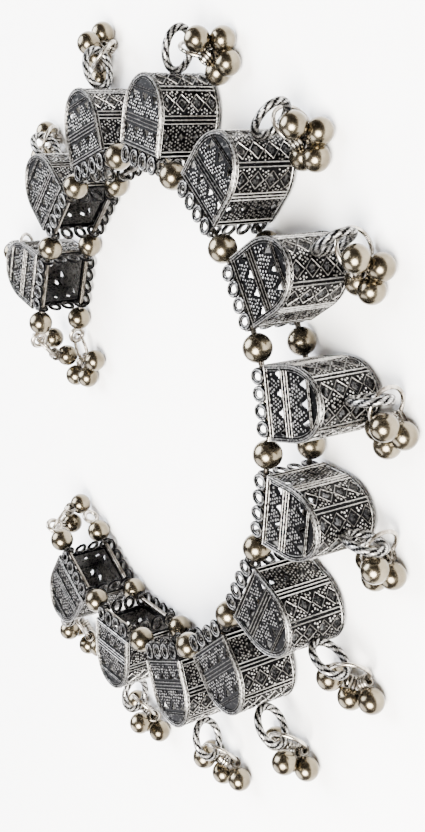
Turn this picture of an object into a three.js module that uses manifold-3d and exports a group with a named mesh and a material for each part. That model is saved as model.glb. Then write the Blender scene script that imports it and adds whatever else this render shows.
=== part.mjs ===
// Open bangle of hollow vaulted box links on two stiff wires, with bunches of small bells.
// Millimetres. +Z is the wrist axis and points up: the bangle lies on its side on z = 0.
// +X is the side away from the opening. The origin is at the middle of the bottom.

import * as THREE from 'three';
import { mergeVertices } from 'three/addons/utils/BufferGeometryUtils.js';
import Module from 'manifold-3d';

const wasm = await Module();
wasm.setup();

// ---- driving dimensions -------------------------------------------------------------------

// The oval that the middles of the link bases sit on, walked clockwise seen from above.
const ovalHalfX = 34.4;
const ovalHalfY = 40.5;
const linkPitch = 14.85;         // along the oval, from one link to the next
const middlePhase = 12.3;        // degrees round the oval to the middle link

// Each link, from the upper end of the opening to the lower one: how far it has slid along the
// wires and outwards (mm) and turned (degrees) off the even oval, and where its bells lie
// (degrees from the way to the next link, towards the outside). Its jump ring hooks the crown
// loop that many degrees below the loop's outermost point, and a mirrored bunch has the bell
// that lies on the others at the other hand.
const links = [
  { along: -0.6, out: -1.15, turn: 6, bellsLie: 168, hookBelow: 40, mirrored: true },
  { along: -0.25, out: -0.1, turn: 2, bellsLie: 165, hookBelow: 40 },
  { along: -0.45, out: 0.7, turn: -2.5, bellsLie: 165, hookBelow: 40, mirrored: true },
  { along: -0.35, out: 0.9, turn: -3, bellsLie: -10, hookBelow: 80 },
  { along: 0.35, out: 0.9, turn: -4.5, bellsLie: -10, hookBelow: 80 },
  { along: 0.55, out: 0.8, turn: 1, bellsLie: -10, hookBelow: 80 },
  { along: 0.5, out: 1.05, turn: -1, bellsLie: -20, hookBelow: 80 },
  { along: 0.4, out: 0.25, turn: 1, bellsLie: -15, hookBelow: 80 },
  { along: 0.1, out: -0.4, turn: -2, bellsLie: 10, hookBelow: 40, mirrored: true },
  { along: 0.0, out: -0.7, turn: -3.5, bellsLie: 30, hookBelow: 40 },
  { along: 0.0, out: -0.45, turn: 4.5, bellsLie: 52, hookBelow: 40, mirrored: true },
  { along: 1.1, out: -0.25, turn: 10, bellsLie: 70, hookBelow: 40 },
  { along: 0.6, out: 1.7, turn: 4, bellsLie: 120, hookBelow: 40, mirrored: true },
];

const linkWidth = 10.3;          // round the wrist
const linkLength = 10.3;         // along the wrist axis
const legHeight = 4.5;           // straight side, from the base line to where the vault starts
const linkHeight = 10.8;         // base line to crown
const wall = 0.9;

const scallops = 4;              // on each of the four base edges
const scallopDrop = 1.8;         // base line to scallop centre
const scallopRadius = 1.25;
const plateRowWidth = 9.4;       // the scallop row under each end plate
const flankInset = 0.5;          // the rows under the flanks stand this far in from them

const crownLoopOut = 3.6;        // crown loop, outer half size away from the crown
const crownLoopAxial = 2.75;     // and along the wrist axis
const crownLoopRod = 0.6;        // radius of its rod
const crownLoopSink = 0.3;       // soldered this deep into the crown

const wireRadius = 0.42;
const wireHoleRadius = 0.78;
const spacerRadius = 2.05;
const endBallGap = 0.45;         // end ball to the last link's row of scallops
const endEyeRadius = 1.2;        // eye at each wire end, to the middle of its wire
const endEyeWire = 0.4;

const jumpRingRadius = 2.7;      // to the middle of its wire
const jumpRingWire = 0.3;
const jumpRingSlack = 0.4;       // clear between its wire and the rod it hangs on
const bellRadius = 1.9;
const bellReach = 3.0;           // ball centre to the hole of its shank
const shankWidth = 1.0;          // half width of the thick shank loop, filled in here
const floorClear = 0.05;         // bells just clear the floor, so the links carry the bangle

const scallopPitch = plateRowWidth / scallops;
const flankScallopPitch = linkLength / scallops;
const flankFace = linkWidth / 2 - flankInset;
const wireOffset = 1.5 * flankScallopPitch;   // the outer scallops of each flank carry the wires
const crownLoopCentre = linkHeight - crownLoopSink + crownLoopOut;
const midHeight = wireOffset + spacerRadius;     // it lies on the balls of the back string,
const plateHeight = midHeight - linkLength / 2;  // which stand out past the links' plates

const radians = THREE.MathUtils.degToRad;
const up = new THREE.Vector3(0, 0, 1);

// ---- solids -------------------------------------------------------------------------------

function solid(geometry) {
  geometry.deleteAttribute('normal');
  geometry.deleteAttribute('uv');
  const merged = mergeVertices(geometry, 1e-4);
  return new wasm.Manifold(new wasm.Mesh({
    numProp: 3,
    vertProperties: new Float32Array(merged.attributes.position.array),
    triVerts: new Uint32Array(merged.index.array),
  }));
}

function geometryOf(manifold) {
  const mesh = manifold.getMesh();
  const geometry = new THREE.BufferGeometry();
  geometry.setAttribute('position', new THREE.BufferAttribute(new Float32Array(mesh.vertProperties), 3));
  geometry.setIndex(new THREE.BufferAttribute(new Uint32Array(mesh.triVerts), 1));
  geometry.computeVertexNormals();
  return geometry;
}

function unite(solids) {
  return solids.reduce((all, next) => all.add(next));
}

// A flat outline extruded along +Z from a height.
function slab(points, thickness, from) {
  const geometry = new THREE.ExtrudeGeometry(new THREE.Shape(points), {
    depth: thickness, bevelEnabled: false, steps: 1,
  });
  return geometry.translate(0, 0, from);
}

// A ring of round rod: its centre, the directions of its two half axes, their lengths, the rod.
function rodRing(centre, across, along, halfAcross, halfAlong, rod, steps, sides) {
  const geometry = new THREE.TorusGeometry(1, 0.5, sides, steps);
  const normal = new THREE.Vector3().crossVectors(across, along);
  const position = geometry.attributes.position;
  for (let i = 0; i < position.count; i += 1) {
    const x = position.getX(i);
    const y = position.getY(i);
    const reach = Math.hypot(x, y);
    const beyond = (reach - 1) * 2 * rod;
    const cos = x / reach;
    const sin = y / reach;
    const point = centre.clone()
      .addScaledVector(across, cos * (halfAcross + beyond))
      .addScaledVector(along, sin * (halfAlong + beyond))
      .addScaledVector(normal, position.getZ(i) * 2 * rod);
    position.setXYZ(i, point.x, point.y, point.z);
  }
  return geometry;
}

// A round wire through points of one height, with flat ends.
function wireThrough(points, radius, sides) {
  const rings = points.map((point, i) => {
    const before = points[Math.max(i - 1, 0)];
    const after = points[Math.min(i + 1, points.length - 1)];
    const ahead = after.clone().sub(before).normalize();
    const aside = new THREE.Vector3().crossVectors(up, ahead);
    return Array.from({ length: sides }, (_, k) => {
      const turn = (2 * Math.PI * k) / sides;
      return point.clone()
        .addScaledVector(aside, radius * Math.cos(turn))
        .addScaledVector(up, radius * Math.sin(turn));
    });
  });
  const corners = rings.flat().concat(points[0], points[points.length - 1]);
  const first = corners.length - 2;
  const last = corners.length - 1;
  const faces = [];
  for (let k = 0; k < sides; k += 1) {
    const next = (k + 1) % sides;
    for (let i = 0; i + 1 < points.length; i += 1) {
      const a = i * sides + k;
      const b = i * sides + next;
      faces.push(a, b, a + sides, b, b + sides, a + sides);
    }
    const end = (points.length - 1) * sides;
    faces.push(first, next, k, last, end + k, end + next);
  }
  const geometry = new THREE.BufferGeometry();
  geometry.setAttribute('position', new THREE.Float32BufferAttribute(
    corners.flatMap((corner) => corner.toArray()), 3));
  geometry.setIndex(faces);
  return geometry;
}

// ---- one link -----------------------------------------------------------------------------
// In its own frame X runs to the next link, Y outwards from the wrist, Z along the wrist axis.
// The base line is y = 0.

// The tombstone outline, drawn in by a margin, with its legs down to a given height.
function vaultOutline(margin, legEnd, steps) {
  const halfWidth = linkWidth / 2 - margin;
  const rise = linkHeight - legHeight - margin;
  const arch = Array.from({ length: steps + 1 }, (_, i) => {
    const turn = (Math.PI * i) / steps;
    return new THREE.Vector2(halfWidth * Math.cos(turn), legHeight + rise * Math.sin(turn));
  });
  return [new THREE.Vector2(halfWidth, legEnd), ...arch, new THREE.Vector2(-halfWidth, legEnd)];
}

// A row of half-round scallops hanging from a straight top edge.
function scallopOutline(pitch) {
  const half = (pitch * scallops) / 2;
  const facets = 3;
  const points = [new THREE.Vector2(half, wall), new THREE.Vector2(-half, wall)];
  points.push(new THREE.Vector2(-half, -scallopDrop));
  for (let i = 0; i < scallops; i += 1) {
    const middle = -half + pitch * (i + 0.5);
    for (let k = 1; k < facets; k += 1) {
      const turn = Math.PI * (1 + k / facets);
      points.push(new THREE.Vector2(
        middle + (pitch / 2) * Math.cos(turn), -scallopDrop + scallopRadius * Math.sin(turn)));
    }
    points.push(new THREE.Vector2(middle + pitch / 2, -scallopDrop));
  }
  return points;
}

function linkSolid() {
  const outer = solid(slab(vaultOutline(0, 0, 8), linkLength, plateHeight));
  const hollow = solid(slab(vaultOutline(wall, -1, 6), linkLength - 2 * wall, plateHeight + wall));
  const plateRow = slab(scallopOutline(scallopPitch), wall, plateHeight);
  const plateRows = [plateRow, plateRow.clone().translate(0, 0, linkLength - wall)];
  const flankRow = slab(scallopOutline(flankScallopPitch), wall, 0)
    .rotateY(Math.PI / 2).translate(0, 0, midHeight);
  const flankRows = [-flankFace, flankFace - wall].map((x) => flankRow.clone().translate(x, 0, 0));
  const wireHoles = [-wireOffset, wireOffset].map((z) => solid(
    new THREE.CylinderGeometry(wireHoleRadius, wireHoleRadius, linkWidth + 1, 6)
      .rotateZ(Math.PI / 2).translate(0, -scallopDrop, midHeight + z)));
  const loop = rodRing(
    new THREE.Vector3(0, crownLoopCentre, midHeight), new THREE.Vector3(0, 1, 0), up,
    crownLoopOut - crownLoopRod, crownLoopAxial - crownLoopRod, crownLoopRod, 8, 4);
  const body = unite([outer.subtract(hollow), ...[...plateRows, ...flankRows].map(solid)]);
  return wireHoles.reduce((left, hole) => left.subtract(hole), body).add(solid(loop));
}

// ---- where the links sit ------------------------------------------------------------------

// The phase round the oval after travelling a distance clockwise from another phase.
function phaseAfter(phase, distance) {
  const step = 0.0005 * Math.sign(distance);
  let left = Math.abs(distance);
  let at = phase;
  while (left > 0) {
    const middle = at - step / 2;
    left -= Math.abs(step) * Math.hypot(ovalHalfX * Math.sin(middle), ovalHalfY * Math.cos(middle));
    at -= step;
  }
  return at;
}

// Base middle, outward direction and direction to the next link, for each link.
function linkPlaces() {
  const middle = (links.length - 1) / 2;
  return links.map(({ along, out, turn, ...bells }, i) => {
    const phase = phaseAfter(radians(middlePhase), linkPitch * (i - middle) + along || 1e-6);
    const facing = Math.atan2(Math.sin(phase) / ovalHalfY, Math.cos(phase) / ovalHalfX);
    const base = new THREE.Vector3(
      ovalHalfX * Math.cos(phase) + out * Math.cos(facing),
      ovalHalfY * Math.sin(phase) + out * Math.sin(facing), 0);
    const turned = facing + radians(turn);
    const outward = new THREE.Vector3(Math.cos(turned), Math.sin(turned), 0);
    const onward = new THREE.Vector3(Math.sin(turned), -Math.cos(turned), 0);
    return { base, outward, onward, turned, ...bells };
  });
}

// A point of a link: across from its middle (towards the next link), out from its base, height.
function linkPoint(place, across, out, height) {
  return place.base.clone()
    .addScaledVector(place.onward, across)
    .addScaledVector(place.outward, out)
    .setZ(height);
}

// ---- the two strings ----------------------------------------------------------------------

// The eye that ends a wire stands upright past the end ball, raised to clear the floor.
function endEyeCentre(ballCentre, away) {
  const centre = ballCentre.clone().addScaledVector(away, spacerRadius + endEyeRadius + 0.1);
  return centre.setZ(Math.max(centre.z, endEyeRadius + endEyeWire + 0.3));
}

function stringEnds(places, height) {
  const reach = flankFace + endBallGap + spacerRadius;
  const first = places[0];
  const last = places[places.length - 1];
  return [
    { ballCentre: linkPoint(first, -reach, -scallopDrop, height), away: first.onward.clone().negate() },
    { ballCentre: linkPoint(last, reach, -scallopDrop, height), away: last.onward.clone() },
  ];
}

function stringSolid(places, height) {
  const ends = stringEnds(places, height);
  const route = [ends[0].ballCentre];
  const ballCentres = ends.map((end) => end.ballCentre);
  places.forEach((place, i) => {
    const entry = linkPoint(place, -flankFace, -scallopDrop, height);
    const exit = linkPoint(place, flankFace, -scallopDrop, height);
    if (i > 0) {
      const spacer = route[route.length - 1].clone().add(entry).multiplyScalar(0.5);
      ballCentres.push(spacer);
    }
    route.push(entry, exit);
  });
  route.push(ends[1].ballCentre);
  const pieces = [wireThrough(route, wireRadius, 4)];
  ballCentres.forEach((centre) => {
    pieces.push(new THREE.SphereGeometry(spacerRadius, 8, 4).translate(centre.x, centre.y, centre.z));
  });
  ends.forEach(({ ballCentre, away }) => {
    pieces.push(rodRing(
      endEyeCentre(ballCentre, away), away, up, endEyeRadius, endEyeRadius, endEyeWire, 8, 4));
  });
  return unite(pieces.map(solid));
}

// ---- a bunch of bells on a jump ring ------------------------------------------------------

// A ball with its shank loop, from the ball's centre towards the ring's wire.
function bell(centre, wirePoint) {
  const profile = [
    [0, -bellRadius], [0.88 * bellRadius, -0.5 * bellRadius], [0.92 * bellRadius, 0.45 * bellRadius],
    [0.6 * shankWidth, bellRadius], [shankWidth, bellReach - 0.2], [0, bellReach + 0.7],
  ].map(([radius, height]) => new THREE.Vector2(radius, height));
  const towards = wirePoint.clone().sub(centre).normalize();
  const turned = new THREE.Quaternion().setFromUnitVectors(new THREE.Vector3(0, 1, 0), towards);
  return new THREE.LatheGeometry(profile, 6).applyQuaternion(turned)
    .translate(centre.x, centre.y, centre.z);
}

// How the bells of a bunch spread: their places round the jump ring, in degrees from its far
// point, and the ways their shanks point, in degrees from the way the bunch lies.
const spreads = {
  pair: [{ turn: -40, fanOut: -35 }, { turn: 40, fanOut: 35 }],
  three: [{ turn: -35, fanOut: -55 }, { turn: 0, fanOut: 0 }, { turn: 35, fanOut: 55 }],
};

const topBellTurns = [30, 40, 50, 60, 70, 80, 90, 100, 110];  // the one in its reach is taken

// The jump ring goes round a rod at `hook` that runs along `rodAlong`, and leans down by `slope`
// degrees towards `lie`, a level direction, pulled out until its slack. Its bells spread at its
// far side, and one more lies on two of them when `topBell` is set. `hand` is 1 or -1 and
// mirrors the bunch.
function bellBunch({ hook, rod, rodAlong, lie, slope, hand, spread, topBell }) {
  const lean = lie.clone().multiplyScalar(Math.cos(radians(slope)))
    .addScaledVector(up, -Math.sin(radians(slope)));
  const normal = rodAlong.clone().addScaledVector(lean, -rodAlong.dot(lean)).normalize();
  const across = new THREE.Vector3().crossVectors(normal, lean);
  const level = new THREE.Vector3().crossVectors(up, lie).multiplyScalar(hand);
  if (across.dot(level) < 0) across.negate();
  const pulledOut = jumpRingRadius - jumpRingWire - rod - jumpRingSlack;
  const centre = hook.clone().addScaledVector(lean, pulledOut);
  const onRing = (turn) => centre.clone()
    .addScaledVector(lean, jumpRingRadius * Math.cos(radians(turn)))
    .addScaledVector(across, jumpRingRadius * Math.sin(radians(turn)));
  const restHeight = bellRadius + floorClear;
  const pieces = [rodRing(centre, lean, across, jumpRingRadius, jumpRingRadius, jumpRingWire, 8, 4)];
  spreads[spread].forEach(({ turn, fanOut }) => {
    const wirePoint = onRing(turn);
    const fall = Math.min(wirePoint.z - restHeight, 0.97 * bellReach);
    const reach = Math.sqrt(bellReach ** 2 - fall ** 2);
    const centreOfBall = wirePoint.clone()
      .addScaledVector(lie, reach * Math.cos(radians(fanOut)))
      .addScaledVector(level, reach * Math.sin(radians(fanOut)))
      .addScaledVector(up, -fall);
    pieces.push(bell(centreOfBall, wirePoint));
  });
  if (topBell) {
    const top = hook.clone().addScaledVector(lie, 3.0).addScaledVector(level, 1.9)
      .setZ(restHeight + 3.25);
    const reachError = (turn) => Math.abs(onRing(turn).distanceTo(top) - bellReach);
    const topTurn = topBellTurns.reduce((a, b) => (reachError(b) < reachError(a) ? b : a));
    pieces.push(bell(top, onRing(topTurn)));
  }
  return unite(pieces.map(solid));
}

function crownHook(place) {
  const turn = radians(place.hookBelow);
  const out = crownLoopCentre + (crownLoopOut - crownLoopRod) * Math.cos(turn);
  const height = midHeight - (crownLoopAxial - crownLoopRod) * Math.sin(turn);
  const rodAlong = place.outward.clone().multiplyScalar(Math.sin(turn))
    .addScaledVector(up, Math.cos(turn));
  return { hook: linkPoint(place, 0, out, height), rod: crownLoopRod, rodAlong };
}

// A ring at the loop's lowest point lies flatter than one that hangs from its outer side.
function crownRingSlope(place) {
  return place.hookBelow > 60 ? 20 : 38;
}

function crownBells(place) {
  const turn = radians(place.bellsLie);
  const lie = place.onward.clone().multiplyScalar(Math.cos(turn))
    .addScaledVector(place.outward, Math.sin(turn));
  return bellBunch({
    ...crownHook(place), lie, slope: crownRingSlope(place), hand: place.mirrored ? -1 : 1,
    spread: 'three', topBell: true,
  });
}

// Three of the four wire ends carry a bunch: on which string and which of its ends, how far
// below the eye's outermost point the ring hooks (degrees), which way the bells lie (degrees
// from the wire's way out, towards the outside) and how steeply the ring leans.
const endBunches = [
  { name: 'upper_front', front: true, end: 0, hookBelow: 40, bellsLie: 45, slope: 40, spread: 'pair' },
  { name: 'upper_back', front: false, end: 0, hookBelow: 18, bellsLie: -48, slope: 6, spread: 'three' },
  { name: 'lower_front', front: true, end: 1, hookBelow: 60, bellsLie: 45, slope: 50, spread: 'pair' },
];

function endBells(places, { front, end, hookBelow, bellsLie, slope, spread }) {
  const height = midHeight + (front ? wireOffset : -wireOffset);
  const { ballCentre, away } = stringEnds(places, height)[end];
  const outward = places[end ? places.length - 1 : 0].outward;
  const lie = away.clone().multiplyScalar(Math.cos(radians(bellsLie)))
    .addScaledVector(outward, Math.sin(radians(bellsLie)));
  const hook = endEyeCentre(ballCentre, away)
    .addScaledVector(away, endEyeRadius * Math.cos(radians(hookBelow)))
    .addScaledVector(up, -endEyeRadius * Math.sin(radians(hookBelow)));
  const rodAlong = away.clone().multiplyScalar(Math.sin(radians(hookBelow)))
    .addScaledVector(up, Math.cos(radians(hookBelow)));
  return bellBunch({
    hook, rod: endEyeWire, rodAlong, lie, slope, hand: 1, spread, topBell: false,
  });
}

// ---- the assembly -------------------------------------------------------------------------

function silver(color, roughness) {
  return new THREE.MeshStandardMaterial({ color, metalness: 1, roughness });
}

const oxidisedSilver = silver(0x85858a, 0.45);
const polishedSilver = silver(0xb0a698, 0.22);
const ringSilver = silver(0x9b9a94, 0.32);

function named(name, manifold, material) {
  const mesh = new THREE.Mesh(geometryOf(manifold), material);
  mesh.name = name;
  return mesh;
}

const number = (i) => String(i + 1).padStart(2, '0');
const bangle = new THREE.Group();
const places = linkPlaces();
const oneLink = linkSolid();

places.forEach((place, i) => {
  const link = named(`link_${number(i)}`, oneLink, oxidisedSilver);
  link.position.copy(place.base);
  link.rotation.z = place.turned - Math.PI / 2;
  bangle.add(link, named(`bells_${number(i)}`, crownBells(place), ringSilver));
});
bangle.add(named('front_string', stringSolid(places, midHeight + wireOffset), polishedSilver));
bangle.add(named('back_string', stringSolid(places, midHeight - wireOffset), polishedSilver));
endBunches.forEach((bunch) => {
  bangle.add(named(`bells_${bunch.name}`, endBells(places, bunch), ringSilver));
});

// The origin goes to the middle of the bottom.
bangle.updateMatrixWorld(true);
const box = new THREE.Box3().setFromObject(bangle, true);
const middle = box.getCenter(new THREE.Vector3());
bangle.position.set(-middle.x, -middle.y, -box.min.z);

export default bangle;
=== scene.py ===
import math
from collections import namedtuple

import bpy
import numpy as np
from mathutils import Matrix, Vector


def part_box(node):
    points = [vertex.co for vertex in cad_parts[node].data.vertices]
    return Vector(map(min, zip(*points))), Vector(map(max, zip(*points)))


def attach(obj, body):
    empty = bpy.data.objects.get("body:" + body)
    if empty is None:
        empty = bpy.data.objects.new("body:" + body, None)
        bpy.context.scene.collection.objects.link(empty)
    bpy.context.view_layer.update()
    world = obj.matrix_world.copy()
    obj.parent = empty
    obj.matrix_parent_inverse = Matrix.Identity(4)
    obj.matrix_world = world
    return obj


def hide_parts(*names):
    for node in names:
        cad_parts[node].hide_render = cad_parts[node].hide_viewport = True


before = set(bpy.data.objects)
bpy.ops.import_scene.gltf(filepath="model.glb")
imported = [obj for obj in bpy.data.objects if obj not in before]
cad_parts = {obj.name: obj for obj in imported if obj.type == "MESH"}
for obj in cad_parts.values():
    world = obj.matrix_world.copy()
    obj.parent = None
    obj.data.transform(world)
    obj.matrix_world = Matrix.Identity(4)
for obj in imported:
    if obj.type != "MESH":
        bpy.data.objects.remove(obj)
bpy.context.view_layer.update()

# All sizes are in millimetres; make_piece turns them into metres. These repeat the CAD part.
LINK_COUNT = 13
LINK_WIDTH = 10.3           # round the wrist
LINK_LENGTH = 10.3          # along the wrist axis
LEG_HEIGHT = 4.5            # base line to where the vault starts
LINK_HEIGHT = 10.8          # base line to crown
RELIEF = 0.26               # how far the tops of the ornament stand above the sheet
SCALLOPS = 4                # in each row
SCALLOP_DROP = 1.8          # base line to where the wires run, in the scallops
PLATE_ROW_WIDTH = 9.4       # the scallop row under each end plate
FLANK_FACE = 4.65           # middle of a link to the outside of the rows under its flanks
LOOP_TIP = 17.7             # base line to the far end of the crown loop
LOOP_RADIAL = 3.0           # crown loop half sizes, to the middle of its rod
LOOP_AXIAL = 2.15
LOOP_ROD = 0.6
LOOP_CENTRE = LOOP_TIP - LOOP_RADIAL - LOOP_ROD

WIRE_RADIUS = 0.42
END_BALL_GAP = 0.45
END_EYE_RADIUS = 1.2
END_EYE_WIRE = 0.4
END_EYE_GAP = 0.1           # end ball to the eye's middle line
JUMP_RING_RADIUS = 2.7
JUMP_RING_WIRE = 0.3
JUMP_RING_SLACK = 0.4
BELL_RADIUS = 1.9
BELL_REACH = 3.0            # jump ring's wire to the middle of a bell

# These are the visual model's own.
SHEET = 0.22                # thickness of the sheet at its cut edges
SHEET_LIP = 0.3             # the sheet goes this far below the base line, to the scallops
CELL = 0.27                 # grid of the sheets
GRANULE_PITCH = 0.54
GRANULE_SIZE = 0.2          # radius and height
GRANULE_SUNK = 0.05         # how far a granule's foot is inside the sheet
GRANULE_SPREAD = (0.8, 1.25)
GRANULE_JITTER = 0.09
GRANULE_CLEARANCE = 0.16    # middle of a granule to the ornament beside it
HOLE_EDGE = 0.05            # width of the edge of a hole that is rubbed
HOLE_BORDER = 0.1           # smooth border round a hole
SHANK_REACH = 2.68          # middle of a bell to the middle of its shank
SHANK_RADIUS = 0.79
SHANK_WIRE = 0.26
SHANK_PITCH = 0.51          # from turn to turn
EYE_ABOVE_FLOOR = 0.3
BELL_ABOVE_FLOOR = 0.05
WIRE_ABOVE_FLOOR = 0.02

STRAND_GROOVE = 0.14        # depth of the grooves between strands, over the rope's radius
# The section of a bar, from foot to foot over its top, as shares of its half width and height,
# and how rubbed it is there.
BAR_SECTION = np.array([[1, -0.3], [0.72, 0.62], [0, 1], [-0.72, 0.62], [-1, -0.3]])
BAR_WORN = [0, 0.45, 1, 0.45, 0]
UNDERSIDE_WORN = 0.5
STRING_WORN = 0.3
# Painted shade: the plates' granules are dimmed by this share against the wrap's, where the lamps'
# highlights fall on the plates.
PLATE_GRANULES_SHADE_FACTOR = 0.82

GROUND = LINK_LENGTH / 2 - RELIEF        # height of a plate's sheet from the link's middle
UP = np.array([0.0, 0.0, 1.0])

# ---- surfaces -----------------------------------------------------------------------------

Surface = namedtuple("Surface", "points quads triangles worn")


def surface(points, quads=None, triangles=None, worn=1.0):
    """A mesh as arrays. worn is 0 in a blackened recess and 1 on a rubbed, bright top."""
    points = np.asarray(points, float).reshape(-1, 3)
    quads = np.zeros((0, 4), int) if quads is None else np.asarray(quads, int)
    triangles = np.zeros((0, 3), int) if triangles is None else np.asarray(triangles, int)
    return Surface(points, quads, triangles, np.broadcast_to(np.asarray(worn, float), len(points)))


def join(surfaces):
    """Several surfaces as one."""
    starts = np.cumsum([0] + [len(s.points) for s in surfaces])
    return Surface(
        np.concatenate([s.points for s in surfaces]),
        np.concatenate([s.quads + n for s, n in zip(surfaces, starts)]),
        np.concatenate([s.triangles + n for s, n in zip(surfaces, starts)]),
        np.concatenate([s.worn for s in surfaces]))


def repeated(shape, origins, axes=np.eye(3)):
    """The shape at each origin (n, 3); the rows of axes are where its x, y and z turn to."""
    origins = np.asarray(origins, float).reshape(-1, 3)
    points = shape.points @ np.broadcast_to(axes, (len(origins), 3, 3)) + origins[:, None]
    offset = np.arange(len(origins))[:, None, None] * len(shape.points)
    return Surface(
        points.reshape(-1, 3),
        (shape.quads + offset).reshape(-1, 4),
        (shape.triangles + offset).reshape(-1, 3),
        np.tile(shape.worn, len(origins)))


def lattice_quads(rows, columns, round_rows=False, round_columns=False):
    """Quads of a grid of points, facing along (column direction) x (row direction)."""
    index = np.arange(rows * columns).reshape(rows, columns)
    if round_rows:
        index = np.concatenate([index, index[:1]])
    if round_columns:
        index = np.concatenate([index, index[:, :1]], axis=1)
    return np.stack(
        [index[:-1, :-1], index[:-1, 1:], index[1:, 1:], index[1:, :-1]], -1).reshape(-1, 4)


def unit(vectors):
    """The vectors at length one."""
    return vectors / np.linalg.norm(vectors, axis=-1, keepdims=True)


def ring(radius, rod, steps, sides, radius_y=None, strands=0, turns=0):
    """A ring of rod in the XY plane, round or elliptical.
    At angle t round the ring and a round the rod, a point is reach r(a, t) from the rod's
    middle line (radius cos t, radius_y sin t). With strands n and turns k, it is a rope: reach
    is rod less a groove that closes as swell = |cos(n (a + k t) / 2)| goes up to 1. It is black
    where swell is under 0.6, and rubbed bright from there up."""
    radius_y = radius if radius_y is None else radius_y
    t = 2 * np.pi * np.arange(steps)[:, None] / steps
    a = 2 * np.pi * np.arange(sides)[None] / sides
    swell = np.abs(np.cos(strands * (a + turns * t) / 2)) if strands else np.ones_like(a + t)
    reach = rod * (1 - STRAND_GROOVE + STRAND_GROOVE * swell)
    points = np.stack([
        np.cos(t) * (radius + reach * np.cos(a)),
        np.sin(t) * (radius_y + reach * np.cos(a)),
        -reach * np.sin(a)], -1)
    worn = np.clip(2.6 * swell - 1.55, 0, 1).ravel()
    return surface(points, lattice_quads(steps, sides, True, True), worn=worn)


def ball(radius, steps, rows):
    """A sphere from circles of latitude and two end points."""
    latitude = np.pi * (np.arange(1, rows) / rows - 0.5)[:, None]
    longitude = 2 * np.pi * np.arange(steps)[None] / steps
    circles = np.stack(np.broadcast_arrays(
        np.cos(latitude) * np.cos(longitude), np.cos(latitude) * np.sin(longitude),
        np.sin(latitude)), -1)
    points = np.concatenate([circles.reshape(-1, 3), [[0, 0, -1], [0, 0, 1]]]) * radius
    here = np.arange(steps)
    after = (here + 1) % steps
    last = (rows - 2) * steps
    bottom, top = np.full(steps, len(points) - 2), np.full(steps, len(points) - 1)
    triangles = np.concatenate([
        np.stack([bottom, after, here], -1), np.stack([top, last + here, last + after], -1)])
    return surface(points, lattice_quads(rows - 1, steps, False, True), triangles)


def rod(points, radius, sides):
    """A round wire through points of one height, with flat ends: circles across its path."""
    points = np.asarray(points, float)
    ahead = unit(np.gradient(points, axis=0))
    aside = np.cross(UP, ahead)
    turn = 2 * np.pi * np.arange(sides)[:, None] / sides
    circles = points[:, None] + radius * (np.cos(turn) * aside[:, None] + np.sin(turn) * UP)
    body = np.concatenate([circles.reshape(-1, 3), points[:1], points[-1:]])
    here = np.arange(sides)
    after = (here + 1) % sides
    last = (len(points) - 1) * sides
    start, end = np.full(sides, len(body) - 2), np.full(sides, len(body) - 1)
    caps = np.concatenate([
        np.stack([start, after, here], -1), np.stack([end, last + here, last + after], -1)])
    return surface(body, lattice_quads(len(points), sides, False, True), caps, STRING_WORN)


def bars(paths, normals, half_width, height, worn):
    """Half-round bars along paths (count, steps, 3) on a face whose normals are given alike:
    BAR_SECTION carried along each path, across it by half_width and up the normal by height."""
    count, steps, _ = paths.shape
    side = np.cross(normals, unit(np.gradient(paths, axis=1)))
    points = (paths[:, :, None]
              + side[:, :, None] * half_width * BAR_SECTION[:, :1]
              + normals[:, :, None] * height * BAR_SECTION[:, 1:])
    corners = len(BAR_SECTION)
    last = (steps - 1) * corners
    quads = np.concatenate([lattice_quads(steps, corners, False, True),
                            [[3, 2, 1, 0], last + np.array([0, 1, 2, 3])]])
    triangles = np.array([[4, 3, 0], last + np.array([0, 3, 4])])
    rubbed = worn * np.tile(BAR_WORN, steps)
    one = surface(np.zeros((steps * corners, 3)), quads, triangles, rubbed)
    many = repeated(one, np.zeros((count, 3)))
    return many._replace(points=points.reshape(-1, 3))


def granule(radius, height):
    """A low dome of six sides: a circle at its foot, one at its shoulder, and a top point."""
    turn = 2 * np.pi * np.arange(6) / 6
    circle = np.stack([np.cos(turn), np.sin(turn)], -1) * radius
    shoulder_width, shoulder_height = 0.72, 0.7
    points = np.concatenate([
        np.column_stack([circle, np.full(6, -GRANULE_SUNK)]),
        np.column_stack([circle * shoulder_width, np.full(6, height * shoulder_height)]),
        [[0, 0, height]]])
    here = np.arange(6)
    after = (here + 1) % 6
    quads = np.concatenate([
        np.stack([here, after, after + 6, here + 6], -1), [[3, 2, 1, 0], [5, 4, 3, 0]]])
    triangles = np.stack([here + 6, after + 6, np.full(6, 12)], -1)
    return surface(points, quads, triangles, np.repeat([0.0, 0.5, 1.0], [6, 6, 1]))


# ---- the faces of a link ------------------------------------------------------------------
# In a link's own frame x runs to the next link, y outwards from the wrist and z along the wrist
# axis from the link's middle. A face is drawn in two coordinates: x and y on the two end
# plates, and the way round the vault and z on the wrap.

def vault_outline():
    """The outer outline, from one leg's foot to the other's: the way along it, its points and
    its outward normals. The legs are straight and the arch over them is half an ellipse."""
    half, rise = LINK_WIDTH / 2, LINK_HEIGHT - LEG_HEIGHT
    t = np.linspace(0, np.pi, 400)
    arch = np.stack([half * np.cos(t), LEG_HEIGHT + rise * np.sin(t)], -1)
    arch_normal = unit(np.stack([np.cos(t) / half, np.sin(t) / rise], -1))
    points = np.concatenate([[[half, -SHEET_LIP]], arch, [[-half, -SHEET_LIP]]])
    normals = np.concatenate([[[1.0, 0.0]], arch_normal, [[-1.0, 0.0]]])
    way = np.concatenate([[0], np.cumsum(np.linalg.norm(np.diff(points, axis=0), axis=1))])
    return way - SHEET_LIP, points, normals


WAY, OUTLINE, OUTLINE_NORMALS = vault_outline()
WRAP_WAY = WAY[-1] - SHEET_LIP           # from base line to base line over the vault
CROWN_WAY = WRAP_WAY / 2


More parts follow.
